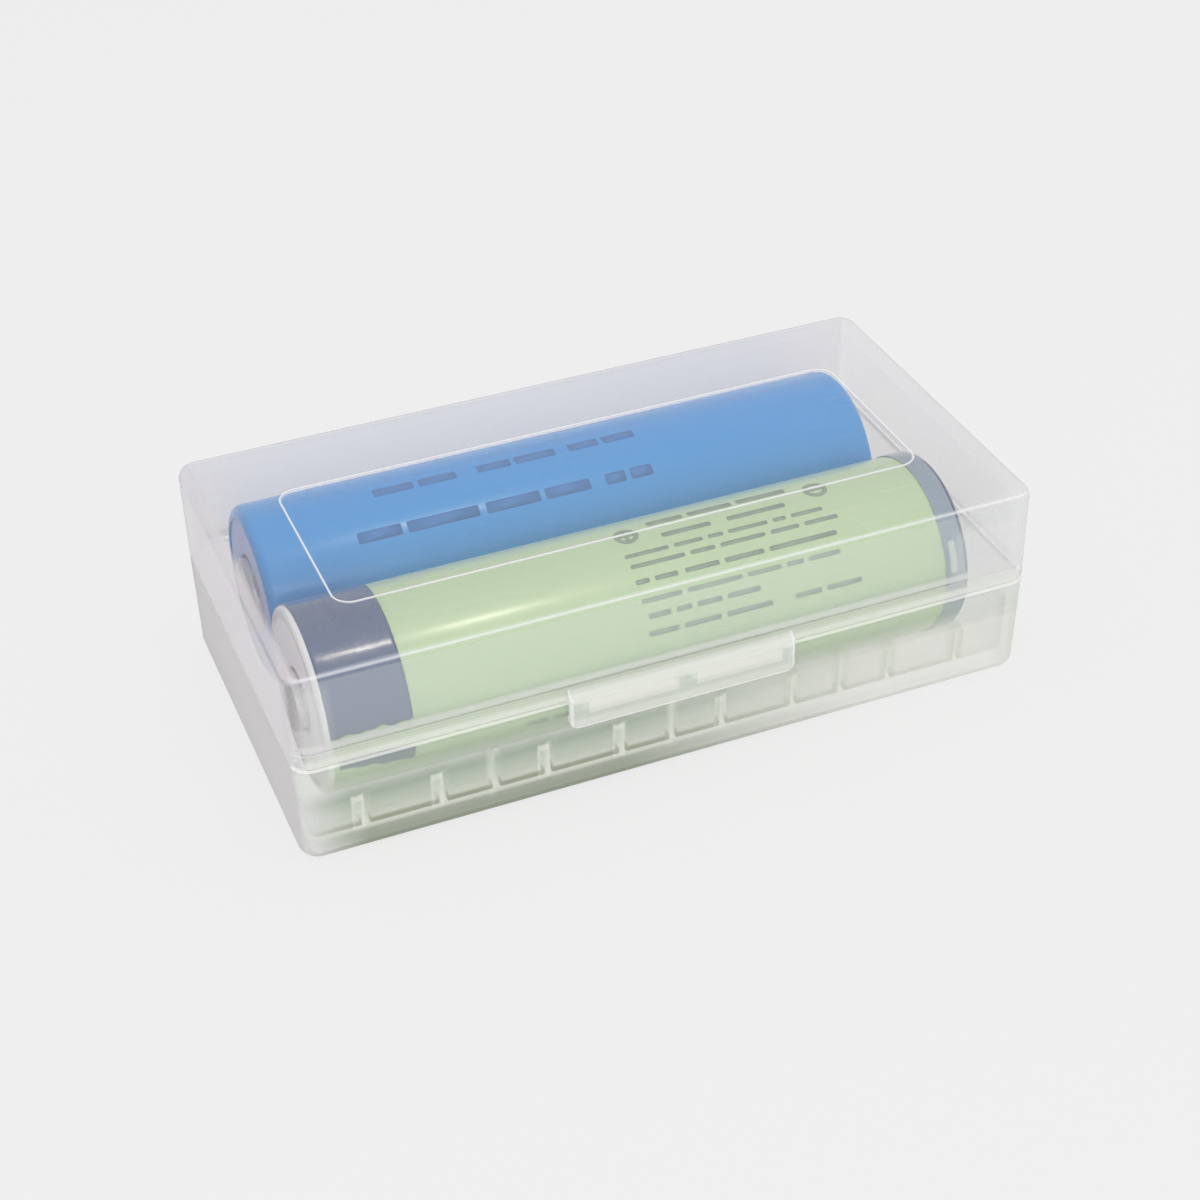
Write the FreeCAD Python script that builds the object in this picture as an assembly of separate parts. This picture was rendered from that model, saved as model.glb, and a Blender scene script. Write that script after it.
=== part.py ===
import FreeCAD, Part
import math
import os

# Battery storage case for two round cells, shown closed, with both cells in it.
# Millimetres. Origin at the centre of the underside, +X along the length to the
# right, +Y towards the hinge, +Z up.

Vec = FreeCAD.Vector
X_AXIS = Vec(1, 0, 0)
Z_AXIS = Vec(0, 0, 1)

# Room that the case leaves round its two cells
cell_side_gap = 0.25
cell_middle_gap = 0.4
front_tip_gap = 1.25
rear_tip_gap = 2.25
bay_spare = 4.65
head_gap = 0.17

# Moulded walls and the outside of the case
seam_height = 11.4
corner_radius = 2.0
least_radius = 0.2
foot_radius = 1.3
crown_radius = 1.2
side_lean = 0.5
wall = 1.25
floor_thickness = 1.6
roof_thickness = 1.2
inside_edge = 0.5
edge_break = 0.15

# Lip of the tray inside the rebated skirt of the lid
seam_gap = 0.1
lip_height = 1.6
lip_thickness = 0.55
lip_clearance = 0.1

# Recessed panel on the lid
panel_end_margin = 8.0
panel_front_margin = 9.65
panel_back_margin = 10.15
panel_depth = 0.25
panel_radius = 1.8

# Cells, measured over their wraps
cell_radius = 9.2
front_wrap_extra = 0.15
front_cell_length = 67.6
rear_cell_length = 66.6
sleeve_thickness = 0.15
layer_gap = 0.02
shoulder = 0.6
sleeve_fold = 1.1
insulator_thickness = 0.25
crimp_reach = 2.3
crimp_depth = 0.8
flange_thickness = 0.5
cap_edge = 0.25
front_cap_radius = 3.0
front_cap_rise = 1.0
rear_cap_radius = 3.9
rear_cap_rise = 0.6
cap_collar_gap = 0.35
vent_count = 4
vent_width = 2.2
vent_depth = 0.9
vent_height = 0.5
vent_turn = 45.0
board_thickness = 1.0
contact_radius = 5.5
contact_depth = 0.12
strap_thickness = 0.12
strap_width = 4.0
strap_angle = -50.0

# Black bands round the front cell
band_thickness = 0.08
left_band_width = 8.0
left_band_start = -60.0
left_band_end = 193.0
right_band_width = 2.1

# Cradle ribs and wall fins in the tray
cradle_web = 0.3
cradle_clearance = 0.03
rib_thickness = 1.0
rib_bevel = 0.3
cross_rib_height = 5.45
cross_rib_count = 3
fin_height = 4.7
fin_reach = 4.4
fin_from_rib = 5.4

# Snap latch
tab_drop = 2.7
tab_rise = 1.6
tab_thickness = 0.55
tab_side_margin = 1.6
tab_corner_radius = 0.9
tab_shoulder = 0.9
catch_slope = 0.25
ridge_length = 9.3
ridge_gap = 1.8
ridge_height = 0.9
ridge_depth = 0.35
ridge_top_drop = 0.1
latch_clearance = 0.1

# Hinge
hinge_spacing = 44.0
hinge_wall_gap = 0.18
pin_radius = 0.7
pin_clearance = 0.06
clip_width = 4.0
clip_side_clearance = 0.15
clip_wall = 0.66
clip_mouth = 1.1
arm_thickness = 1.4
knuckle_wall = 0.7
hinge_web_height = 4.0
weld_depth = 0.3

# Sizes that follow from the ones above
rear_cell_radius = cell_radius
front_cell_radius = cell_radius + front_wrap_extra
front_cell_end_gap = front_cap_rise + front_tip_gap
rear_cell_end_gap = rear_cap_rise + rear_tip_gap
front_cell_reach = front_cell_end_gap + front_cell_length
rear_cell_reach = rear_cell_end_gap + rear_cell_length
cell_seat = floor_thickness + cradle_web + cradle_clearance
case_length = 2 * wall + max(front_cell_reach, rear_cell_reach) + bay_spare
case_width = 2 * (wall + cell_side_gap + front_cell_radius + rear_cell_radius) + cell_middle_gap
case_height = cell_seat + 2 * max(front_cell_radius, rear_cell_radius) + head_gap + roof_thickness
half_length = case_length / 2
half_width = case_width / 2
inner_length = case_length - 2 * wall
inner_width = case_width - 2 * wall
inner_corner_radius = max(corner_radius - wall, least_radius)
lip_inset = wall - lip_thickness
skirt_thickness = lip_inset - lip_clearance
lip_top = seam_height + lip_height
lid_bottom = seam_height + seam_gap
roof_inside = case_height - roof_thickness
front_cell_y = -(half_width - wall - cell_side_gap - front_cell_radius)
rear_cell_y = half_width - wall - cell_side_gap - rear_cell_radius
front_cell_z = cell_seat + front_cell_radius
rear_cell_z = cell_seat + rear_cell_radius
front_cell_left = -half_length + wall + front_cell_end_gap
rear_cell_left = -half_length + wall + rear_cell_end_gap
front_sleeve_radius = front_cell_radius - band_thickness - layer_gap
panel_length = case_length - 2 * panel_end_margin
panel_width = case_width - panel_front_margin - panel_back_margin
panel_y = (panel_front_margin - panel_back_margin) / 2
cross_rib_pitch = inner_length / (cross_rib_count + 1)
fin_spread = cross_rib_pitch - 2 * fin_from_rib
ridge_spacing = ridge_length + ridge_gap
tab_length = 2 * (tab_side_margin + ridge_length) + ridge_gap
tab_bottom = seam_height - tab_drop
tab_top = seam_height + tab_rise
tab_stand = ridge_depth + latch_clearance + tab_thickness
clip_radius = pin_radius + pin_clearance + clip_wall
knuckle_radius = pin_radius + knuckle_wall
hinge_y = half_width + max(clip_radius, knuckle_radius) + hinge_wall_gap
hinge_z = seam_height


# Outlines and simple blocks

def rounded_outline(length, width, radius, height):
    x = length / 2
    y = width / 2
    r = radius
    k = r * (1 - math.sqrt(0.5))
    corners = [(x, y, 1, 1), (-x, y, -1, 1), (-x, -y, -1, -1), (x, -y, 1, -1)]
    starts = []
    arcs = []
    for cx, cy, sx, sy in corners:
        along_x = Vec(cx - sx * r, cy, height)
        along_y = Vec(cx, cy - sy * r, height)
        middle = Vec(cx - sx * k, cy - sy * k, height)
        first, last = (along_y, along_x) if sx == sy else (along_x, along_y)
        arcs.append(Part.Arc(first, middle, last).toShape())
        starts.append((first, last))
    edges = []
    for i in range(4):
        edges.append(arcs[i])
        edges.append(Part.makeLine(starts[i][1], starts[(i + 1) % 4][0]))
    return Part.Wire(edges)


def rounded_block(length, width, radius, low, high):
    bottom = rounded_outline(length, width, radius, low)
    return Part.Face(bottom).extrude(Vec(0, 0, high - low))


def level_edges(solid, height):
    edges = []
    for edge in solid.Edges:
        box = edge.BoundBox
        if abs(box.ZMin - height) < 1e-4 and abs(box.ZMax - height) < 1e-4:
            edges.append(edge)
    return edges


def round_level_edges(solid, height, radius):
    return solid.makeFillet(radius, level_edges(solid, height))


def bevel_level_edges(solid, height, size):
    return solid.makeChamfer(size, level_edges(solid, height))


def side_profile(points, x_low, x_high):
    corners = [Vec(x_low, y, z) for y, z in points]
    face = Part.Face(Part.makePolygon(corners + corners[:1]))
    return face.extrude(Vec(x_high - x_low, 0, 0))


def leaning_block(length, width, radius, low, high, lean):
    y = width / 2
    profile = [(-y + lean, low), (-y, high), (y, high), (y - lean, low)]
    block = side_profile(profile, -length / 2, length / 2)
    corners = []
    for edge in block.Edges:
        if edge.BoundBox.ZMax - edge.BoundBox.ZMin > (high - low) / 2:
            corners.append(edge)
    return block.makeFillet(radius, corners)


def bar_along_x(radius, x_low, x_high, y, z):
    return Part.makeCylinder(radius, x_high - x_low, Vec(x_low, y, z), X_AXIS)


def fused(shapes):
    return shapes[0].multiFuse(shapes[1:]).removeSplitter()


# Tray

def wall_inside(height):
    return inner_width / 2 - side_lean * (1 - height / seam_height)


def tray_shell():
    body = leaning_block(case_length, case_width, corner_radius, 0, seam_height, side_lean)
    body = round_level_edges(body, 0, foot_radius)
    body = bevel_level_edges(body, seam_height, edge_break)
    lip_radius = max(corner_radius - lip_inset, least_radius)
    lip = rounded_block(case_length - 2 * lip_inset, case_width - 2 * lip_inset, lip_radius,
                        seam_height - wall, lip_top)
    lip = bevel_level_edges(lip, lip_top, edge_break)
    top = lip_top + wall
    hollow = leaning_block(inner_length, 2 * wall_inside(top), inner_corner_radius,
                           floor_thickness, top, wall_inside(top) - wall_inside(floor_thickness))
    hollow = bevel_level_edges(hollow, floor_thickness, inside_edge)
    return body.fuse(lip).cut(hollow)


def bevel_topped_plate(x, y_low, y_high, top):
    base = floor_thickness - weld_depth
    half = rib_thickness / 2
    flat = half - rib_bevel
    corners = [
        Vec(x - half, y_low, base),
        Vec(x - half, y_low, top - rib_bevel),
        Vec(x - flat, y_low, top),
        Vec(x + flat, y_low, top),
        Vec(x + half, y_low, top - rib_bevel),
        Vec(x + half, y_low, base),
    ]
    face = Part.Face(Part.makePolygon(corners + corners[:1]))
    return face.extrude(Vec(0, y_high - y_low, 0))


def cell_spaces():
    front = bar_along_x(front_cell_radius + cradle_clearance, -half_length, half_length,
                        front_cell_y, front_cell_z)
    rear = bar_along_x(rear_cell_radius + cradle_clearance, -half_length, half_length,
                       rear_cell_y, rear_cell_z)
    return front.fuse(rear)


def cross_ribs():
    top = floor_thickness + cross_rib_height
    reach = wall_inside(top) + weld_depth
    first = -(cross_rib_count - 1) / 2 * cross_rib_pitch
    ribs = []
    for i in range(cross_rib_count):
        ribs.append(bevel_topped_plate(first + i * cross_rib_pitch, -reach, reach, top))
    return ribs


def wall_fins():
    top = floor_thickness + fin_height
    reach = wall_inside(top) + weld_depth
    first_bay = -cross_rib_count / 2 * cross_rib_pitch
    fins = []
    for bay in range(cross_rib_count + 1):
        for side in (-1, 1):
            x = first_bay + bay * cross_rib_pitch + side * fin_spread / 2
            inner = reach - weld_depth - fin_reach
            fins.append(bevel_topped_plate(x, -reach, -inner, top))
            fins.append(bevel_topped_plate(x, inner, reach, top))
    return fins


def catch_ridges():
    high = seam_height - ridge_top_drop
    low = high - ridge_height
    face = half_width
    profile = [
        (-face + weld_depth, low),
        (-face - ridge_depth, low),
        (-face - ridge_depth, low + ridge_height / 2),
        (-face, high),
        (-face + weld_depth, high),
    ]
    ridges = []
    for side in (-1, 1):
        middle = side * ridge_spacing / 2
        ridges.append(side_profile(profile, middle - ridge_length / 2, middle + ridge_length / 2))
    return ridges


def hinge_clips():
    root = half_width - weld_depth
    web = [
        (root, hinge_z - hinge_web_height),
        (root, hinge_z - seam_gap),
        (hinge_y, hinge_z - seam_gap),
        (hinge_y, hinge_z - clip_radius),
        (half_width, hinge_z - hinge_web_height),
    ]
    clips = []
    for side in (-1, 1):
        middle = side * hinge_spacing / 2
        low = middle - clip_width / 2
        high = middle + clip_width / 2
        ring = bar_along_x(clip_radius, low, high, hinge_y, hinge_z)
        clip = ring.fuse(side_profile(web, low, high))
        bore = bar_along_x(pin_radius + pin_clearance, low, high, hinge_y, hinge_z)
        mouth = Part.makeBox(clip_width, 2 * clip_radius, clip_mouth,
                             Vec(low, hinge_y, hinge_z - clip_mouth / 2))
        clips.append(clip.cut(bore).cut(mouth))
    return clips


def make_base_tray():
    ribs = fused(cross_ribs() + wall_fins()).cut(cell_spaces())
    return fused([tray_shell(), ribs] + catch_ridges() + hinge_clips())


# Lid

def lid_shell():
    body = rounded_block(case_length, case_width, corner_radius, lid_bottom, case_height)
    body = round_level_edges(body, case_height, crown_radius)
    body = bevel_level_edges(body, lid_bottom, edge_break)
    hollow = rounded_block(inner_length, inner_width, inner_corner_radius,
                           lid_bottom - wall, roof_inside)
    hollow = bevel_level_edges(hollow, roof_inside, inside_edge)
    rebate_radius = max(corner_radius - skirt_thickness, least_radius)
    rebate = rounded_block(case_length - 2 * skirt_thickness, case_width - 2 * skirt_thickness,
                           rebate_radius, lid_bottom - wall, lip_top + lip_clearance)
    panel = rounded_block(panel_length, panel_width, panel_radius,
                          case_height - panel_depth, case_height + wall)
    panel.translate(Vec(0, panel_y, 0))
    return body.cut(hollow).cut(rebate).cut(panel)


def latch_tab():
    face = -half_width
    outside = face - tab_stand
    plate_inside = face - ridge_depth - latch_clearance
    catch_top = seam_height - ridge_top_drop - ridge_height - latch_clearance
    profile = [
        (face + weld_depth, tab_top),
        (face, tab_top),
        (outside, tab_top - tab_shoulder),
        (outside, tab_bottom),
        (face - latch_clearance, tab_bottom),
        (face - latch_clearance, catch_top - catch_slope),
        (plate_inside, catch_top),
        (plate_inside, lid_bottom),
        (face + weld_depth, lid_bottom),
    ]
    tab = side_profile(profile, -tab_length / 2, tab_length / 2)
    corners = []
    for edge in level_edges(tab, tab_bottom):
        if edge.BoundBox.XLength < 1e-4:
            corners.append(edge)
    tab = tab.makeFillet(tab_corner_radius, corners)
    rim = []
    for edge in tab.Edges:
        if edge.BoundBox.YMax < outside + 1e-4:
            rim.append(edge)
    return tab.makeChamfer(edge_break, rim)


def hinge_arms():
    root = half_width - weld_depth
    web = [
        (root, lid_bottom),
        (root, hinge_z + hinge_web_height),
        (half_width, hinge_z + hinge_web_height),
        (hinge_y, hinge_z + knuckle_radius),
        (hinge_y, lid_bottom),
    ]
    arms = []
    for side in (-1, 1):
        middle = side * hinge_spacing / 2
        pin_half = clip_width / 2 + clip_side_clearance
        arms.append(bar_along_x(pin_radius, middle - pin_half - arm_thickness / 2,
                                middle + pin_half + arm_thickness / 2, hinge_y, hinge_z))
        for start in (middle - pin_half - arm_thickness, middle + pin_half):
            stop = start + arm_thickness
            arms.append(bar_along_x(knuckle_radius, start, stop, hinge_y, hinge_z))
            arms.append(side_profile(web, start, stop))
    return arms


def make_lid():
    return fused([lid_shell(), latch_tab()] + hinge_arms())


# Cells, each drawn along +X from the end with the raised contact

def turned(outline):
    face = Part.Face(Part.Wire(outline))
    return face.revolve(Vec(0, 0, 0), X_AXIS, 360)


def polyline(points):
    vectors = [Vec(x, r, 0) for x, r in points]
    return [Part.makeLine(a, b) for a, b in zip(vectors, vectors[1:])]


def sleeve(radius, length):
    t = sleeve_thickness
    c = radius - shoulder
    near = shoulder
    far = length - shoulder
    fold = radius - sleeve_fold
    return turned(polyline([
        (near, radius), (0, c), (0, fold), (t, fold), (t, c), (near, radius - t),
        (far, radius - t), (length - t, c), (length - t, fold), (length, fold), (length, c),
        (far, radius), (near, radius),
    ]))


def can(radius, start, stop):
    edge = shoulder
    seat = radius - crimp_reach
    return turned(polyline([
        (start, seat), (start, radius - edge), (start + edge, radius), (stop - edge, radius),
        (stop, radius - edge), (stop, 0), (start + crimp_depth, 0), (start + crimp_depth, seat),
        (start, seat),
    ]))


def cap(seat_radius, seat, hat_radius, top):
    flange = bar_along_x(seat_radius - layer_gap, seat - flange_thickness, seat - layer_gap, 0, 0)
    hat = bar_along_x(hat_radius, top, seat - flange_thickness / 2, 0, 0)
    rims = []
    for edge in hat.Edges:
        if edge.BoundBox.XMax < top + 1e-4:
            rims.append(edge)
    body = flange.fuse(hat.makeChamfer(cap_edge, rims))
    vents = []
    for i in range(vent_count):
        slot = Part.makeBox(vent_height, vent_width, vent_depth,
                            Vec(top + 2 * cap_edge, -vent_width / 2, hat_radius - vent_depth))
        slot.rotate(Vec(0, 0, 0), X_AXIS, vent_turn + i * 360 / vent_count)
        vents.append(slot)
    return body.cut(vents[0].multiFuse(vents[1:]))


def washer(outer, inner, start, stop):
    return bar_along_x(outer, start, stop, 0, 0).cut(bar_along_x(inner, start, stop, 0, 0))


def arc_strip(inner, outer, start, stop, from_angle, to_angle):
    def at(radius, share):
        angle = math.radians(from_angle + share * (to_angle - from_angle))
        return Vec(start, radius * math.cos(angle), radius * math.sin(angle))
    outline = Part.Wire([
        Part.Arc(at(outer, 0), at(outer, 0.5), at(outer, 1)).toShape(),
        Part.makeLine(at(outer, 1), at(inner, 1)),
        Part.Arc(at(inner, 1), at(inner, 0.5), at(inner, 0)).toShape(),
        Part.makeLine(at(inner, 0), at(outer, 0)),
    ])
    return Part.Face(outline).extrude(Vec(stop - start, 0, 0))


def placed(shapes, left, y, z):
    for shape in shapes.values():
        shape.translate(Vec(left, y, z))
    return shapes


def end_pieces(can_radius, hat_radius, rise):
    top_of_can = sleeve_thickness + 2 * layer_gap + insulator_thickness
    seat_radius = can_radius - crimp_reach
    ring = washer(can_radius - shoulder, hat_radius + cap_collar_gap,
                  sleeve_thickness + layer_gap, top_of_can - layer_gap)
    contact = cap(seat_radius, top_of_can + crimp_depth, hat_radius, -rise)
    return top_of_can, ring, contact


def make_rear_cell():
    can_radius = rear_cell_radius - sleeve_thickness - layer_gap
    start, ring, contact = end_pieces(can_radius, rear_cap_radius, rear_cap_rise)
    stop = rear_cell_length - sleeve_thickness - layer_gap
    return placed({
        "rear_cell_can": can(can_radius, start, stop),
        "rear_cell_cap": contact,
        "rear_cell_insulator": ring,
        "rear_cell_sleeve": sleeve(rear_cell_radius, rear_cell_length),
    }, rear_cell_left, rear_cell_y, rear_cell_z)


def circuit_board(radius, start):
    board = bar_along_x(radius, start, start + board_thickness, 0, 0)
    contact = washer(radius, contact_radius, start + board_thickness - contact_depth,
                     start + board_thickness)
    return board.cut(contact)


def make_front_cell():
    sleeve_inside = front_sleeve_radius - sleeve_thickness
    can_radius = sleeve_inside - strap_thickness - 2 * layer_gap
    start, ring, contact = end_pieces(can_radius, front_cap_radius, front_cap_rise)
    board_start = front_cell_length - sleeve_thickness - layer_gap - board_thickness
    board_radius = front_sleeve_radius - shoulder
    stop = board_start - layer_gap
    band_inside = front_sleeve_radius + layer_gap
    half_strap = math.degrees(strap_width / 2 / can_radius)
    right_end = front_cell_length - shoulder
    return placed({
        "front_cell_can": can(can_radius, start, stop),
        "front_cell_cap": contact,
        "front_cell_insulator": ring,
        "front_cell_sleeve": sleeve(front_sleeve_radius, front_cell_length),
        "front_cell_circuit_board": circuit_board(board_radius, board_start),
        "front_cell_strap": arc_strip(can_radius + layer_gap, sleeve_inside - layer_gap,
                                      start + shoulder, stop,
                                      strap_angle - half_strap, strap_angle + half_strap),
        "front_cell_left_band": arc_strip(band_inside, front_cell_radius, shoulder,
                                          shoulder + left_band_width,
                                          left_band_start, left_band_end),
        "front_cell_right_band": washer(front_cell_radius, band_inside,
                                        right_end - right_band_width, right_end),
    }, front_cell_left, front_cell_y, front_cell_z)


def main():
    os.makedirs("parts", exist_ok=True)
    nodes = {"base_tray": make_base_tray(), "lid": make_lid()}
    nodes.update(make_rear_cell())
    nodes.update(make_front_cell())
    for name, shape in nodes.items():
        shape.exportStep("parts/" + name + ".step")
        print(name, "solids", len(shape.Solids), "valid", shape.isValid(),
              "volume", round(shape.Volume, 1))


main()
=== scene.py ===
import math
import bmesh
import bpy
from mathutils import Matrix, Vector, noise


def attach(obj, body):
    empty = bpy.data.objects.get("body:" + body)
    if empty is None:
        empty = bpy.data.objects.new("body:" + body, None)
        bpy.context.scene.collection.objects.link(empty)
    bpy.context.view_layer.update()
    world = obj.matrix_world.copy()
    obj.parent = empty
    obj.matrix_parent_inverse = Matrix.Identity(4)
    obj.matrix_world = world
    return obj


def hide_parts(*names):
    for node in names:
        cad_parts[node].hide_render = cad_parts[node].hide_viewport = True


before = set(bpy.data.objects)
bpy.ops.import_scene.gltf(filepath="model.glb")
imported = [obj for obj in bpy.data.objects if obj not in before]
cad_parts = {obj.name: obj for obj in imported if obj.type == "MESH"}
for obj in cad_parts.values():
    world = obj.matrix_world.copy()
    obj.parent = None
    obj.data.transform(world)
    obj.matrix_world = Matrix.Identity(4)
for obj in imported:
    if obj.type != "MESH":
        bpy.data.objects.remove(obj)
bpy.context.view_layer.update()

scene = bpy.context.scene
print("frame loaded")


# camera, world and lamps

cameraSettings = dict(azimuth=-21.536, elevation=35.606, roll=-1.452, distance=0.236279,
                      target=(-0.000808, -0.001615, 0.007989), lens=68.795, sensor=36, near=0.005, far=20)


def placeCamera(s):
    az, el, roll = (math.radians(s[k]) for k in ("azimuth", "elevation", "roll"))
    back = Vector((math.sin(az) * math.cos(el), -math.cos(az) * math.cos(el), math.sin(el)))
    right = Vector((math.cos(az), math.sin(az), 0))
    up = back.cross(right)
    across = right * math.cos(roll) + up * math.sin(roll)
    above = up * math.cos(roll) - right * math.sin(roll)
    camera = bpy.data.objects.new("camera", bpy.data.cameras.new("camera"))
    camera.data.lens = s["lens"]
    camera.data.sensor_width = s["sensor"]
    camera.data.clip_start = s["near"]
    camera.data.clip_end = s["far"]
    turn = Matrix((across, above, back)).transposed().to_4x4()
    camera.matrix_world = Matrix.Translation(Vector(s["target"]) + back * s["distance"]) @ turn
    scene.collection.objects.link(camera)
    scene.camera = camera


lightSettings = dict(backdrop=(0.873, 0.873, 0.873), above=(1.0, 1.0, 1.0), low=(0.80, 0.80, 0.81),
                     aboveFrom=0.9, worldLevel=0.81, floorGlow=0.85, floorDull=0.9, floorSize=3.0,
                     keyPower=0.11, keySize=0.03, keyPlace=(0.045, -0.082, 0.360), keyColour=(1.0, 0.92, 0.74),
                     fillPower=0.55, fillSize=0.30, fillPlace=(-0.14, -0.40, 0.20), fillColour=(1.0, 1.0, 1.0))


def shownToEye(nodes, links):
    path = nodes.new("ShaderNodeLightPath")
    first = nodes.new("ShaderNodeMath")
    first.operation = "MAXIMUM"
    links.new(path.outputs["Is Camera Ray"], first.inputs[0])
    links.new(path.outputs["Is Glossy Ray"], first.inputs[1])
    second = nodes.new("ShaderNodeMath")
    second.operation = "MAXIMUM"
    links.new(first.outputs[0], second.inputs[0])
    links.new(path.outputs["Is Transmission Ray"], second.inputs[1])
    return second.outputs[0]


def makeWorld(s):
    world = bpy.data.worlds.new("studio")
    scene.world = world
    world.use_nodes = True
    nodes, links = world.node_tree.nodes, world.node_tree.links
    nodes.clear()
    where = nodes.new("ShaderNodeTexCoord")
    parts = nodes.new("ShaderNodeSeparateXYZ")
    links.new(where.outputs["Generated"], parts.inputs[0])
    ramp = nodes.new("ShaderNodeValToRGB")
    ramp.color_ramp.elements[0].position = 0.0
    ramp.color_ramp.elements[0].color = (*s["low"], 1)
    ramp.color_ramp.elements[1].position = s["aboveFrom"]
    ramp.color_ramp.elements[1].color = (*s["above"], 1)
    links.new(parts.outputs["Z"], ramp.inputs[0])
    light = nodes.new("ShaderNodeBackground")
    light.inputs["Strength"].default_value = s["worldLevel"]
    links.new(ramp.outputs[0], light.inputs["Color"])
    seen = nodes.new("ShaderNodeBackground")
    seen.inputs["Color"].default_value = (*s["backdrop"], 1)
    mix = nodes.new("ShaderNodeMixShader")
    links.new(shownToEye(nodes, links), mix.inputs[0])
    links.new(light.outputs[0], mix.inputs[1])
    links.new(seen.outputs[0], mix.inputs[2])
    out = nodes.new("ShaderNodeOutputWorld")
    links.new(mix.outputs[0], out.inputs["Surface"])


def makeLamp(name, power, size, place, colour):
    lamp = bpy.data.lights.new(name, "AREA")
    lamp.shape = "DISK"
    lamp.color = colour
    lamp.energy = power
    lamp.size = size
    holder = bpy.data.objects.new(name, lamp)
    holder.location = place
    holder.rotation_mode = "QUATERNION"
    holder.rotation_quaternion = Vector(place).to_track_quat("Z", "Y")
    scene.collection.objects.link(holder)


def makeFloor(s):
    bm = bmesh.new()
    bmesh.ops.create_grid(bm, x_segments=2, y_segments=2, size=s["floorSize"])
    mesh = bpy.data.meshes.new("floor")
    bm.to_mesh(mesh)
    bm.free()
    floor = bpy.data.objects.new("floor", mesh)
    scene.collection.objects.link(floor)
    mat = bpy.data.materials.new("paleFloor")
    mat.use_nodes = True
    nodes, links = mat.node_tree.nodes, mat.node_tree.links
    shaded = nodes["Principled BSDF"]
    shaded.inputs["Base Color"].default_value = (*s["backdrop"], 1)
    shaded.inputs["Roughness"].default_value = s["floorDull"]
    shaded.inputs["Specular IOR Level"].default_value = 0.0
    glow = nodes.new("ShaderNodeEmission")
    glow.inputs["Color"].default_value = (*s["backdrop"], 1)
    share = nodes.new("ShaderNodeMath")
    share.operation = "MULTIPLY"
    share.inputs[1].default_value = s["floorGlow"]
    links.new(shownToEye(nodes, links), share.inputs[0])
    mix = nodes.new("ShaderNodeMixShader")
    links.new(share.outputs[0], mix.inputs[0])
    links.new(shaded.outputs[0], mix.inputs[1])
    links.new(glow.outputs[0], mix.inputs[2])
    links.new(mix.outputs[0], nodes["Material Output"].inputs["Surface"])
    mesh.materials.append(mat)


scene.view_settings.view_transform = "Standard"
placeCamera(cameraSettings)
makeWorld(lightSettings)
for lampName in ("key", "fill"):
    makeLamp(lampName, *(lightSettings[lampName + part] for part in ("Power", "Size", "Place", "Colour")))
makeFloor(lightSettings)
print("studio ready")


# building blocks for materials

def startMaterial(name, s):
    mat = bpy.data.materials.new(name)
    mat.use_nodes = True
    nodes, links = mat.node_tree.nodes, mat.node_tree.links
    shader = nodes["Principled BSDF"]
    for socket, value in s.get("fixed", {}).items():
        shader.inputs[socket].default_value = value
    where = nodes.new("ShaderNodeTexCoord")
    place = nodes.new("ShaderNodeMapping")
    links.new(where.outputs["Object"], place.inputs["Vector"])
    return mat, nodes, links, shader, place.outputs[0]


def addNoise(nodes, links, where, scale, detail=4, stretch=None):
    if stretch:
        squeeze = nodes.new("ShaderNodeMapping")
        squeeze.inputs["Scale"].default_value = stretch
        links.new(where, squeeze.inputs["Vector"])
        where = squeeze.outputs[0]
    cloud = nodes.new("ShaderNodeTexNoise")
    cloud.inputs["Scale"].default_value = scale
    cloud.inputs["Detail"].default_value = detail
    links.new(where, cloud.inputs["Vector"])
    return cloud.outputs["Fac"]


def addRange(nodes, links, value, low, high, fromLow=0.3, fromHigh=0.7):
    span = nodes.new("ShaderNodeMapRange")
    span.inputs["From Min"].default_value = fromLow
    span.inputs["From Max"].default_value = fromHigh
    span.inputs["To Min"].default_value = low
    span.inputs["To Max"].default_value = high
    links.new(value, span.inputs["Value"])
    return span.outputs[0]


def addMix(nodes, links, share, first, second):
    mix = nodes.new("ShaderNodeMix")
    mix.data_type = "RGBA"
    sockets = [i for i in mix.inputs if i.type == "RGBA"]
    links.new(share, mix.inputs[0])
    for socket, value in zip(sockets, (first, second)):
        if isinstance(value, tuple):
            socket.default_value = (*value, 1)
        else:
            links.new(value, socket)
    return [o for o in mix.outputs if o.type == "RGBA"][0]


def addMath(nodes, links, kind, first, second=0.0):
    step = nodes.new("ShaderNodeMath")
    step.operation = kind
    for socket, value in zip(step.inputs, (first, second)):
        if isinstance(value, (int, float)):
            socket.default_value = value
        else:
            links.new(value, socket)
    return step.outputs[0]


def addPlace(nodes, links, where):
    # object coordinates in millimetres, as three numbers
    large = nodes.new("ShaderNodeVectorMath")
    large.operation = "SCALE"
    large.inputs["Scale"].default_value = 1000
    links.new(where, large.inputs[0])
    parts = nodes.new("ShaderNodeSeparateXYZ")
    links.new(large.outputs[0], parts.inputs[0])
    return dict(zip("xyz", parts.outputs))


def addBetween(nodes, links, value, low, high, soft):
    rise = addRange(nodes, links, value, 0, 1, low - soft, low + soft)
    fall = addRange(nodes, links, value, 1, 0, high - soft, high + soft)
    return addMath(nodes, links, "MULTIPLY", rise, fall)


def addZone(nodes, links, place, soft, **limits):
    # 1 inside a box given as x=(low, high) and so on, with ax, ay, az for distances from the middle;
    # a third number is that side's own softness
    share = None
    for axis, (low, high, *own) in limits.items():
        value = place[axis[-1]]
        if len(axis) == 2:
            value = addMath(nodes, links, "ABSOLUTE", value)
        inside = addBetween(nodes, links, value, low, high, own[0] if own else soft)
        share = inside if share is None else addMath(nodes, links, "MULTIPLY", share, inside)
    return share


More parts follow.
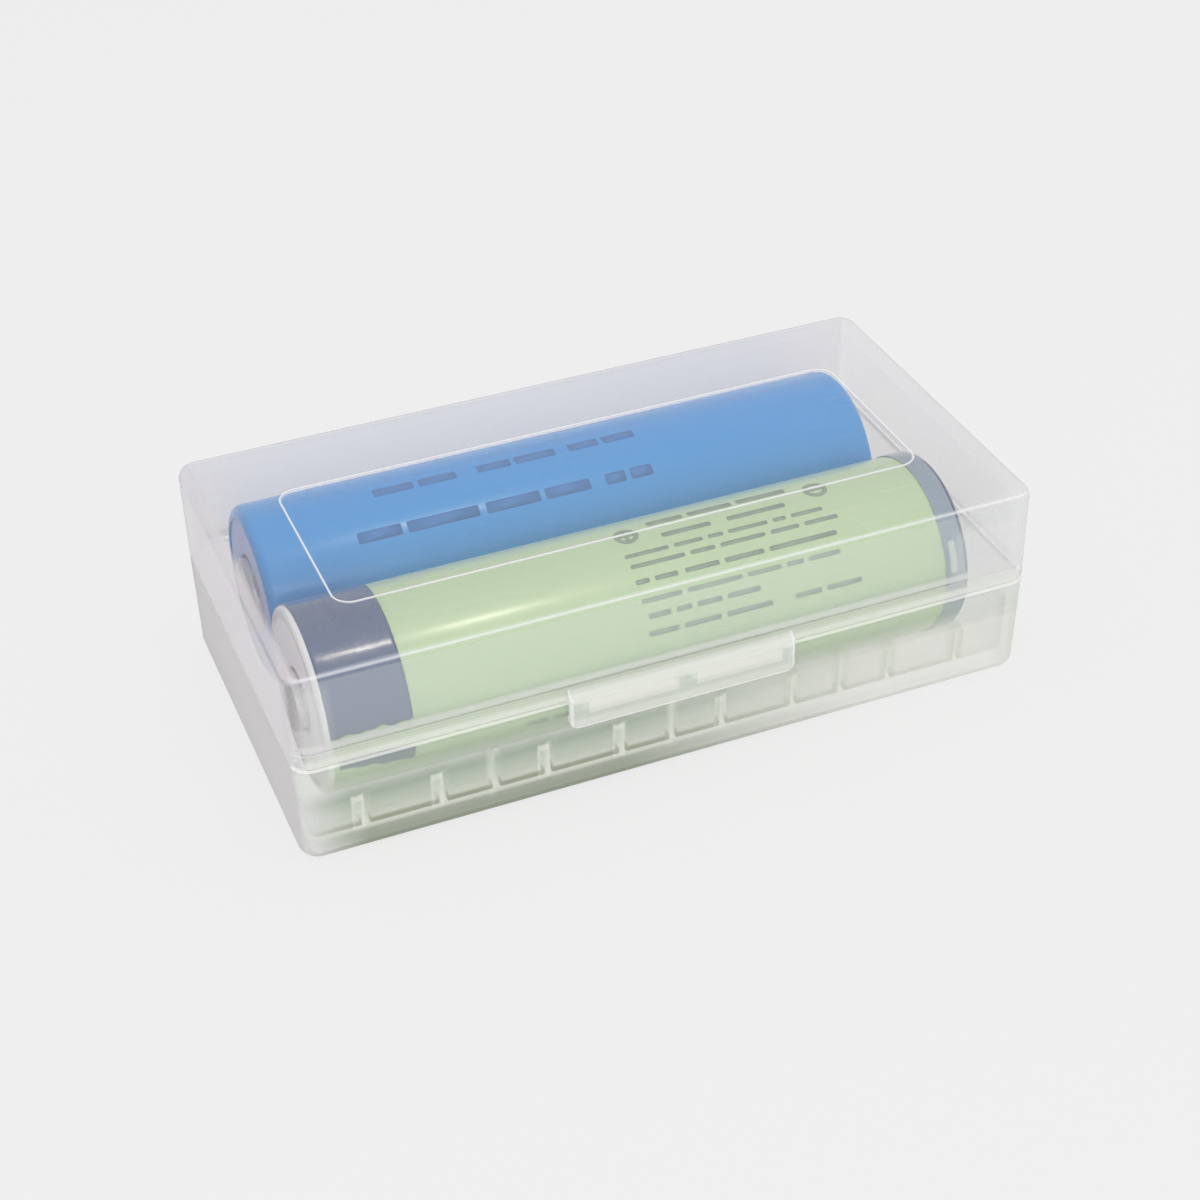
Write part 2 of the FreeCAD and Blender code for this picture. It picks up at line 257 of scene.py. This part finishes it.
def addBump(nodes, links, height, distance, strength, before=None):
    bump = nodes.new("ShaderNodeBump")
    bump.inputs["Distance"].default_value = distance
    bump.inputs["Strength"].default_value = strength
    links.new(height, bump.inputs["Height"])
    if before:
        links.new(before, bump.inputs["Normal"])
    return bump.outputs[0]


# moulded plastic of the tray and the lid, each with the zones where it looks whiter, denser or darker, some of them
# painted highlights, painted shade and painted light as marked;
# a zone is its softness, its limits in millimetres, its colour and how much it covers

frontWall = dict(y=(-21.0, -20.0))
frontEdge = dict(y=(-21.0, -19.3))
frontRim = dict(y=(-22.0, -18.6))
frontTab = dict(y=(-22.0, -20.32))
trayFront = dict(y=(-21.0, -19.0))
trayFoot = dict(y=(-21.0, -17.5))
leftEnd = dict(x=(-39.0, -38.2))
rightEnd = dict(x=(38.2, 39.0))
seam = 11.4
resin = {"IOR": 1.46, "Specular IOR Level": 0.5}

lidLook = dict(
    pale=(0.70, 0.662, 0.712), cloudy=(0.64, 0.602, 0.652), smooth=0.10, dull=0.24,
    clear=0.155, milky=0.85, inside=0.03, shade=0.4, lean=0, level=(21.05, 21.25),
    rippleScale=60, rippleDepth=0.00004, scratchScale=500, fixed=resin,
    zones=[
        # front wall and the two ends; the right end is lightened with painted light standing in for light scattered
        # inside the case
        (0.15, dict(frontWall, z=(13.2, 21.2)), (0.70, 0.72, 0.72), 0.34),
        (0.15, dict(leftEnd, z=(11.5, 21.2)), (0.69, 0.647, 0.688), 0.82),
        (0.15, dict(rightEnd, z=(11.5, 21.2)), (1.0, 0.99, 1.0), 0.26),
        # left edge of the roof; right part of the front and back wall, lightened with painted light standing in for
        # light scattered inside the case
        (0.30, dict(x=(-39.0, -37.3), z=(21.3, 22.2)), (0.71, 0.68, 0.715), 0.78),
        (0.60, dict(frontWall, x=(29.5, 37.0), z=(12.8, 19.5)), (0.78, 0.79, 0.78), 0.58),
        (0.15, dict(y=(20.0, 21.0), z=(11.5, 21.2)), (0.78, 0.77, 0.83), 0.38),
        # painted highlight along the top edge of the front; left part of the front
        (0.09, dict(frontEdge, z=(21.48, 21.74)), (0.92, 0.92, 0.96), 0.56),
        (0.80, dict(frontWall, x=(-39.0, -35.0), z=(12.8, 20.8)), (0.77, 0.765, 0.77), 0.58),
        # painted highlights along the rim, strong at the front and faint round the back, and along the step; wall
        # over the tray's lip
        (0.06, dict(frontRim, z=(11.40, 11.72)), (0.93, 0.94, 0.92), 0.70),
        (0.06, dict(y=(-18.6, 22.0), z=(11.40, 11.72)), (0.86, 0.86, 0.88), 0.12),
        (0.06, dict(frontRim, z=(13.02, 13.20)), (0.93, 0.94, 0.92), 0.50),
        (0.15, dict(y=(-20.6, -20.0), z=(11.6, 13.05)), (0.84, 0.88, 0.80), 0.50),
        # latch tab: its face, the two ridges behind it, its top, and painted highlights along its bottom edge and
        # side edges
        (0.05, dict(frontTab, ax=(-1, 11.9), z=(8.0, 13.05)), (0.80, 0.84, 0.79), 0.44),
        (0.12, dict(frontTab, x=(-9.9, -0.6), z=(10.35, 11.8)), (0.90, 0.91, 0.86), 0.60),
        (0.12, dict(frontTab, x=(1.3, 10.4), z=(10.35, 11.8)), (0.90, 0.91, 0.86), 0.60),
        (0.15, dict(frontTab, ax=(-1, 11.6), z=(11.7, 13.0)), (0.88, 0.90, 0.86), 0.60),
        (0.05, dict(frontTab, ax=(-1, 11.9), z=(8.0, 8.98)), (0.93, 0.94, 0.93), 0.70),
        (0.05, dict(frontTab, ax=(11.5, 12.0), z=(8.0, 13.05)), (0.95, 0.96, 0.95), 0.65),
    ])
trayLook = dict(
    pale=(0.64, 0.65, 0.62), cloudy=(0.58, 0.59, 0.56), smooth=0.32, dull=0.44,
    clear=0.26, milky=0.85, inside=0.04, shade=0.4, lean=0.5 / seam, level=(1.5, 1.3),
    rippleScale=80, rippleDepth=0.00003, scratchScale=400, fixed=resin,
    zones=[
        # the two ends, the right one lightened with painted light standing in for light scattered inside the case;
        # front wall below the seam
        (0.15, dict(leftEnd, z=(0.5, 11.3)), (0.60, 0.57, 0.58), 0.82),
        (0.15, dict(rightEnd, z=(0.5, 11.3)), (0.92, 0.92, 0.90), 0.35),
        (0.60, dict(frontEdge, z=(8.0, 11.3)), (0.72, 0.78, 0.68), 0.34),
        # pockets between the fins, painted shade from the cells seen through the front wall: all of them, darker at
        # their tops, lighter and warmer at their feet
        (0.70, dict(trayFront, x=(-36.3, 31.0, 2.5), z=(1.6, 7.6)), (0.44, 0.51, 0.39), 0.68),
        (0.90, dict(trayFront, x=(-36.3, 31.0, 2.5), z=(6.0, 7.9)), (0.22, 0.31, 0.20), 0.60),
        (0.40, dict(trayFront, x=(-36.0, 8.0, 6.0), z=(3.0, 4.3, 0.6)), (0.56, 0.59, 0.47), 0.46),
        # painted shade: dark strip along the floor under the cells; painted light: lighter part on the right
        (0.20, dict(trayFoot, x=(-35.0, 33.0, 3.0), z=(-1.0, 2.7)), (0.28, 0.32, 0.24), 0.85),
        (0.80, dict(trayFoot, x=(8.0, 70.0, 14.0), z=(-1.0, 8.0)), (0.80, 0.81, 0.75), 0.50),
        # painted highlights along the shoulder and the top of the lip; catch ridges
        (0.06, dict(frontRim, z=(11.12, 11.45)), (0.94, 0.95, 0.92), 0.66),
        (0.06, dict(frontRim, z=(12.84, 13.05)), (0.94, 0.95, 0.92), 0.50),
        (0.05, dict(y=(-22.0, -20.3), z=(10.3, 11.4)), (0.95, 0.95, 0.92), 0.80),
    ])
skinLook = dict(ends=36.5, sides=18.25, covers=(1.82, 1.95), facing=0.5, steepness=4.0)
# painted highlight round the recessed panel of the lid
panelHighlightLook = dict(ends=28.7, middle=-0.25, sides=8.55, radius=1.8, line=(-0.03, 0.20), soft=0.04,
                 level=(21.5, 21.6), colour=(0.97, 0.97, 1.0), density=0.78)
# painted highlights on the fins and cross ribs seen through the tray's front wall
finHighlightLook = dict(pitch=18.625, offset=5.4, shift=1.05, colour=(0.70, 0.75, 0.63), density=0.56,
               side=(0.34, 0.60, 0.13), crown=(-1, 0.55, 0.12), crownHeight=(6.2, 7.0, 0.15),
               body=(-1, 0.60, 0.12), bodyShare=0.5, near=dict(y=(-20.6, -19.3), z=(2.9, 7.05)),
               rib=(-1, 0.35, 0.25), ribShare=0.6, ribNear=dict(y=(-20.6, -19.3), z=(2.9, 8.4, 0.8), ax=(-1, 21)))


def cloudyShare(nodes, links, clear, milky):
    # the milky resin looks denser where the eye looks along the wall
    edge = nodes.new("ShaderNodeLayerWeight")
    edge.inputs["Blend"].default_value = skinLook["facing"]
    steep = addMath(nodes, links, "POWER", edge.outputs["Facing"], skinLook["steepness"])
    return addRange(nodes, links, steep, clear, milky, 0, 1)


def cornerReach(nodes, links, *pairs):
    # how far a place lies outside a rectangle, the same all round its corners
    squares = []
    for value, middle in pairs:
        over = addMath(nodes, links, "MAXIMUM", addMath(nodes, links, "SUBTRACT", value, middle), 0.0)
        squares.append(addMath(nodes, links, "MULTIPLY", over, over))
    return addMath(nodes, links, "SQRT", addMath(nodes, links, "ADD", *squares))


def outerSkin(nodes, links, place, s):
    # 1 on the outside of the moulding and 0 on the faces inside it
    down = addMath(nodes, links, "MULTIPLY", addMath(nodes, links, "SUBTRACT", seam, place["z"]), s["lean"])
    across = addMath(nodes, links, "ADD", addMath(nodes, links, "ABSOLUTE", place["y"]), down)
    along = addMath(nodes, links, "ABSOLUTE", place["x"])
    reach = cornerReach(nodes, links, (along, skinLook["ends"]), (across, skinLook["sides"]))
    wall = addRange(nodes, links, reach, 0, 1, *skinLook["covers"])
    return addMath(nodes, links, "MAXIMUM", wall, addRange(nodes, links, place["z"], 0, 1, *s["level"]))


def panelHighlight(nodes, links, place, s):
    # painted highlight: a bright line along the step round the recessed panel
    along = addMath(nodes, links, "ABSOLUTE", place["x"])
    across = addMath(nodes, links, "ABSOLUTE", addMath(nodes, links, "SUBTRACT", place["y"], s["middle"]))
    reach = cornerReach(nodes, links, (along, s["ends"]), (across, s["sides"]))
    line = addBetween(nodes, links, reach, *(s["radius"] + offset for offset in s["line"]), s["soft"])
    return addMath(nodes, links, "MULTIPLY", line, addRange(nodes, links, place["z"], 0, 1, *s["level"]))


def fromRib(nodes, links, place, s):
    # distance along the case from the nearest cross rib
    return addMath(nodes, links, "PINGPONG", addMath(nodes, links, "ADD", place["x"], s["shift"]), s["pitch"] / 2)


def finHighlights(nodes, links, place, s):
    # painted highlights: bright lines where the sides of each fin meet the wall and over its top, on a paler body
    part = fromRib(nodes, links, place, s)
    away = addMath(nodes, links, "ABSOLUTE", addMath(nodes, links, "SUBTRACT", part, s["offset"]))
    sides = addBetween(nodes, links, away, *s["side"])
    crown = addMath(nodes, links, "MULTIPLY", addBetween(nodes, links, away, *s["crown"]),
                    addBetween(nodes, links, place["z"], *s["crownHeight"]))
    filled = addMath(nodes, links, "MULTIPLY", addBetween(nodes, links, away, *s["body"]), s["bodyShare"])
    lines = addMath(nodes, links, "MAXIMUM", addMath(nodes, links, "MAXIMUM", sides, crown), filled)
    return addMath(nodes, links, "MULTIPLY", lines, addZone(nodes, links, place, 0.15, **s["near"]))


# painted highlight: a bright line over each cross rib
def ribHighlights(nodes, links, place, s):
    line = addBetween(nodes, links, fromRib(nodes, links, place, s), *s["rib"])
    near = addZone(nodes, links, place, 0.15, **s["ribNear"])
    return addMath(nodes, links, "MULTIPLY", addMath(nodes, links, "MULTIPLY", line, near), s["ribShare"])


def mouldedPlastic(name, s, extra=()):
    mat, nodes, links, shader, where = startMaterial(name, s)
    cloud = addNoise(nodes, links, where, s["rippleScale"])
    colour = addMix(nodes, links, cloud, s["pale"], s["cloudy"])
    place = addPlace(nodes, links, where)
    outside = addMath(nodes, links, "MULTIPLY", outerSkin(nodes, links, place, s),
                      cloudyShare(nodes, links, s["clear"], s["milky"]))
    alpha = addMath(nodes, links, "MAXIMUM", outside, s["inside"])
    layers = [(addZone(nodes, links, place, soft, **box), tint, dense) for soft, box, tint, dense in s["zones"]]
    for makeMask, look in extra:
        layers.append((makeMask(nodes, links, place, look), look["colour"], look["density"]))
    for mask, tint, dense in layers:
        colour = addMix(nodes, links, mask, colour, tint)
        gain = addMath(nodes, links, "MULTIPLY", mask, addMath(nodes, links, "SUBTRACT", dense, alpha))
        alpha = addMath(nodes, links, "ADD", alpha, gain)
    links.new(colour, shader.inputs["Base Color"])
    # milky resin scatters light on into the case, so its shadow is thinner than its look
    shade = addRange(nodes, links, nodes.new("ShaderNodeLightPath").outputs["Is Shadow Ray"], 1, s["shade"], 0, 1)
    links.new(addMath(nodes, links, "MULTIPLY", alpha, shade), shader.inputs["Alpha"])
    rub = addNoise(nodes, links, where, s["scratchScale"], 6, (1, 0.06, 0.4))
    links.new(addRange(nodes, links, rub, s["smooth"], s["dull"]), shader.inputs["Roughness"])
    links.new(addBump(nodes, links, cloud, s["rippleDepth"], 0.5), shader.inputs["Normal"])
    return mat


# metal, paper and film on the cells

filmShine = {"Specular IOR Level": 0.5, "Coat Weight": 0.3, "Coat Roughness": 0.15}
filmGrain = dict(grain=120, smooth=0.22, dull=0.34, depth=0.00002, stretch=(0.12, 1, 1))
paperGrain = dict(grain=2500, smooth=0.7, dull=0.9, depth=0.00003)
inkGrain = dict(grain=1500, smooth=0.4, dull=0.6, depth=0.00001, fixed={"Specular IOR Level": 0.4})

# painted light: the white and the lilac paper at the cells' ends glow faintly, standing in for light the milky walls
# scatter onto them
finishes = dict(
    nickelSteel=dict(bright=(0.80, 0.79, 0.78), worn=(0.70, 0.69, 0.68),
                     grain=900, smooth=0.30, dull=0.45, depth=0.00001, fixed={"Metallic": 1.0}),
    fibrePaper=dict(paperGrain, bright=(0.97, 0.96, 0.96), worn=(0.93, 0.92, 0.92),
                    fixed={"Specular IOR Level": 0.3, "Emission Color": (1, 1, 1, 1), "Emission Strength": 0.11}),
    lilacPaper=dict(paperGrain, bright=(0.56, 0.62, 0.86), worn=(0.48, 0.54, 0.78),
                    fixed={"Specular IOR Level": 0.3, "Emission Color": (0.6, 0.7, 1.0, 1),
                           "Emission Strength": 0.10}),
    blueFilm=dict(filmGrain, bright=(0.004, 0.335, 0.82), worn=(0.003, 0.31, 0.76), fixed=filmShine),
    greenFilm=dict(filmGrain, bright=(0.575, 0.745, 0.46), worn=(0.53, 0.70, 0.42),
                   fixed=dict(filmShine, **{"Coat Weight": 0.35}),
                   zones=[(0.06, dict(x=(-36.0, -34.36)), (0.94, 0.94, 0.93)),      # pale ring folded over the end
                          (0.06, dict(x=(31.9, 33.0)), (0.052, 0.080, 0.165))]),
    blackFilm=dict(bright=(0.064, 0.122, 0.245), worn=(0.050, 0.098, 0.205),
                   grain=420, smooth=0.18, dull=0.42, depth=0.00024,
                   fixed={"Specular IOR Level": 0.6, "Coat Weight": 0.5, "Coat Roughness": 0.12},
                   zones=[(0.5, dict(x=(29.0, 34.0)), (0.25, 0.34, 0.42)),
                          # pale rectangle
                          (0.05, dict(x=(30.45, 31.15), z=(13.3, 16.3), y=(-19.5, -13.0)), (0.62, 0.70, 0.66))]),
    boardGreen=dict(bright=(0.03, 0.10, 0.05), worn=(0.02, 0.07, 0.04),
                    grain=1200, smooth=0.3, dull=0.5, depth=0.00003, fixed={"Specular IOR Level": 0.5}),
    blueInk=dict(inkGrain, bright=(0.022, 0.205, 0.54), worn=(0.018, 0.235, 0.60)),
    greyInk=dict(inkGrain, bright=(0.25, 0.35, 0.28), worn=(0.34, 0.45, 0.32)),
)
nodeFinishes = dict(
    front_cell_can="nickelSteel", front_cell_cap="nickelSteel", front_cell_strap="nickelSteel",
    rear_cell_can="nickelSteel", rear_cell_cap="nickelSteel",
    front_cell_insulator="fibrePaper", rear_cell_insulator="lilacPaper",
    rear_cell_sleeve="blueFilm", front_cell_sleeve="greenFilm", front_cell_circuit_board="boardGreen",
    front_cell_left_band="blackFilm", front_cell_right_band="blackFilm",
)


def plainFinish(name, s):
    mat, nodes, links, shader, where = startMaterial(name, s)
    cloud = addNoise(nodes, links, where, s["grain"], 4, s.get("stretch"))
    colour = addMix(nodes, links, cloud, s["bright"], s["worn"])
    place = addPlace(nodes, links, where)
    for soft, box, tint in s.get("zones", []):
        colour = addMix(nodes, links, addZone(nodes, links, place, soft, **box), colour, tint)
    links.new(colour, shader.inputs["Base Color"])
    links.new(addRange(nodes, links, cloud, s["smooth"], s["dull"]), shader.inputs["Roughness"])
    links.new(addBump(nodes, links, cloud, s["depth"], 0.4), shader.inputs["Normal"])
    return mat


def fillNode(name, mat):
    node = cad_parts[name]
    for slot in node.material_slots:
        slot.material = mat


def keepPiece(name, bm, mat, body, slot, *nodes):
    mesh = bpy.data.meshes.new(name)
    bm.to_mesh(mesh)
    bm.free()
    mesh.polygons.foreach_set("use_smooth", [True] * len(mesh.polygons))
    mesh.materials.append(mat)
    piece = bpy.data.objects.new(name, mesh)
    scene.collection.objects.link(piece)
    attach(piece, body)
    if nodes:
        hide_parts(*nodes)
    return piece


fillNode("lid", mouldedPlastic("lidPlastic", lidLook, [(panelHighlight, panelHighlightLook)]))
fillNode("base_tray", mouldedPlastic("trayPlastic", trayLook, [(finHighlights, finHighlightLook), (ribHighlights, finHighlightLook)]))
finished = {name: plainFinish(name, look) for name, look in finishes.items()}
for nodeName, finishName in nodeFinishes.items():
    fillNode(nodeName, finished[finishName])
print("materials on")


# shrunk film sleeves, turned about the cell's own line

rearCell = dict(left=-0.0344, middle=(0.00955, 0.01113), radius=0.0092, length=0.0666,
                fold=0.0013, shoulder=0.0010, film=0.00015, steps=96)
frontCell = dict(left=-0.0350, middle=(-0.0094, 0.01128), radius=0.00925, length=0.0676,
                 fold=0.0011, shoulder=0.0006, film=0.00015, steps=96)


def turnedSleeve(s):
    bm = bmesh.new()
    outline = [(0, s["radius"] - s["fold"]), (0, s["radius"]),
               (s["length"], s["radius"]), (s["length"], s["radius"] - s["fold"])]
    points = [bm.verts.new((s["left"] + x, r, 0)) for x, r in outline]
    for first, second in zip(points, points[1:]):
        bm.edges.new((first, second))
    bmesh.ops.bevel(bm, geom=points[1:3], offset=s["shoulder"], segments=5, profile=0.5,
                    affect="VERTICES", material=-1)
    bmesh.ops.spin(bm, geom=bm.verts[:] + bm.edges[:], cent=(0, 0, 0), axis=(1, 0, 0), dvec=(0, 0, 0),
                   angle=2 * math.pi, steps=s["steps"], use_merge=True)
    bmesh.ops.translate(bm, verts=bm.verts, vec=(0, *s["middle"]))
    bmesh.ops.remove_doubles(bm, verts=bm.verts, dist=1e-6)
    bmesh.ops.recalc_face_normals(bm, faces=bm.faces)
    bmesh.ops.solidify(bm, geom=bm.faces[:], thickness=s["film"])
    return bm


keepPiece("blueSleeve", turnedSleeve(rearCell), finished["blueFilm"], "base", "blue_wrap", "rear_cell_sleeve")
keepPiece("greenSleeve", turnedSleeve(frontCell), finished["greenFilm"], "base", "green_wrap", "front_cell_sleeve")
print("sleeves turned")


# pieces cut flat and then wrapped round a cell: x runs along it, y is the way round from its top to the front

def wrapRound(bm, cell, lift):
    for v in bm.verts:
        turn = math.pi / 2 + v.co.y / cell["radius"]
        reach = cell["radius"] + lift + v.co.z
        v.co.y = cell["middle"][0] + reach * math.cos(turn)
        v.co.z = cell["middle"][1] + reach * math.sin(turn)


def flatPatch(bm, x, y, wide, tall, xSteps=1, ySteps=2):
    place = Matrix.Translation((x, y, 0)) @ Matrix.Diagonal((wide, tall, 1, 1))
    made = bmesh.ops.create_grid(bm, x_segments=xSteps, y_segments=ySteps, size=0.5, matrix=place)
    return made["verts"]


bandLook = dict(strips=[dict(left=-0.0344, wide=0.0080, start=-60, stop=169, steps=110, slant=0),
                        dict(left=-0.0338, wide=0.0074, start=181, stop=193, steps=8, slant=0.09)],
                ragged=0.00035, raggedFrom=0.0012, raggedScale=900, stepsAlong=24, lift=0.00002, thickness=0.00008)


def frontBands(s, cell):
    bm = bmesh.new()
    perDegree = math.radians(cell["radius"])
    for strip in s["strips"]:
        low, high = ((strip[end] - 90) * perDegree for end in ("start", "stop"))
        middle = strip["left"] + strip["wide"] / 2
        for v in flatPatch(bm, middle, (low + high) / 2, strip["wide"], high - low, s["stepsAlong"], strip["steps"]):
            nearEnd = max(0.0, (v.co.y - high) / s["raggedFrom"] + 1)
            v.co.y += strip["slant"] * (v.co.x - strip["left"]) * 2
            v.co.y += nearEnd * s["ragged"] * noise.noise(Vector((v.co.x * s["raggedScale"], strip["start"], 0)))
    wrapRound(bm, cell, s["lift"])
    bmesh.ops.recalc_face_normals(bm, faces=bm.faces)
    bmesh.ops.solidify(bm, geom=bm.faces[:], thickness=s["thickness"])
    return bm


keepPiece("leftBand", frontBands(bandLook, frontCell), finished["blackFilm"], "base", "black_band",
          "front_cell_left_band")


# plain bars and marks where each cell carries its print: each row is its turn, its height and its bars along x

inkLook = dict(corner=0.00015, stroke=0.22, ringSteps=28, lift=0.00001, thickness=0.00002)
blueMarks = dict(inkLook, rings=[], signs=[], rows=[
    (95.5, 0.0011, [(-21.0, -16.8), (-16.2, -12.2), (-9.9, -6.3), (-5.8, -1.4), (0.1, 3.4), (3.9, 7.4)]),
    (126.5, 0.0012, [(-24.2, -19.6), (-19.0, -11.4), (-10.6, -4.8), (-4.2, 0.7), (2.4, 4.6), (5.2, 7.6)]),
])
greenMarks = dict(inkLook, rings=[(-0.9, 88.0, 0.00125, 0.00078), (19.6, 88.0, 0.00125, 0.00078)],
                  signs=[(-0.9, 88.0, 0.0019, True), (19.6, 88.0, 0.0019, False)], rows=[
    (80.5, 0.0008, [(1.8, 5.6), (6.2, 10.9), (11.5, 16.8)]),
    (95.5, 0.0006, [(2.4, 7.6), (9.4, 15.7)]),
    (106.0, 0.00045, [(-2.2, 2.4), (3.0, 6.0), (6.6, 8.2), (8.8, 13.0), (13.6, 15.0), (15.6, 19.0)]),
    (114.0, 0.00045, [(-2.1, 3.6), (4.2, 6.8), (7.4, 12.2), (12.8, 15.9), (16.5, 20.1)]),
    (124.5, 0.0005, [(-2.2, -0.8), (-0.2, 2.2), (3.0, 6.6), (7.2, 11.4), (12.0, 19.3)]),
    (136.5, 0.00045, [(-2.2, 2.0), (2.6, 8.4), (9.0, 12.6), (13.2, 15.0), (15.6, 19.0)]),
    (146.0, 0.0005, [(-1.9, 0.4), (1.0, 2.6), (3.2, 5.8), (6.4, 9.9)]),
    (156.5, 0.0005, [(-2.2, 0.9), (1.5, 5.4), (6.0, 10.9), (13.4, 16.2), (16.8, 20.6)]),
    (198.0, 0.0007, [(-15.2, -13.0), (-12.4, -10.3)]),
])


def printedMarks(s, cell):
    bm = bmesh.new()
    perDegree = math.radians(cell["radius"])
    corners = []
    for turn, tall, spans in s["rows"]:
        for low, high in spans:
            corners += flatPatch(bm, (low + high) / 2000, (turn - 90) * perDegree, (high - low) / 1000, tall)
    corners = [v for v in corners if len(v.link_edges) == 2]
    bmesh.ops.bevel(bm, geom=corners, offset=s["corner"], segments=2, profile=0.5, affect="VERTICES", material=-1)
    for x, turn, outer, inner in s["rings"]:
        place = Matrix.Translation((x / 1000, (turn - 90) * perDegree, 0))
        edges = []
        for radius in (outer, inner):
            ring = bmesh.ops.create_circle(bm, segments=s["ringSteps"], radius=radius, matrix=place)["verts"]
            edges += [e for v in ring for e in v.link_edges if e.other_vert(v) in ring]
        bmesh.ops.bridge_loops(bm, edges=list(set(edges)))
    for x, turn, size, crossed in s["signs"]:
        stroke = size * s["stroke"]
        flatPatch(bm, x / 1000, (turn - 90) * perDegree, size, stroke)
        if crossed:
            flatPatch(bm, x / 1000, (turn - 90) * perDegree, stroke, size)
    wrapRound(bm, cell, s["lift"])
    bmesh.ops.recalc_face_normals(bm, faces=bm.faces)
    bmesh.ops.solidify(bm, geom=bm.faces[:], thickness=s["thickness"])
    return bm


keepPiece("blueCellMarks", printedMarks(blueMarks, rearCell), finished["blueInk"], "base", "black_band")
keepPiece("greenCellMarks", printedMarks(greenMarks, frontCell), finished["greyInk"], "base", "black_band")
print("bands and marks wrapped")
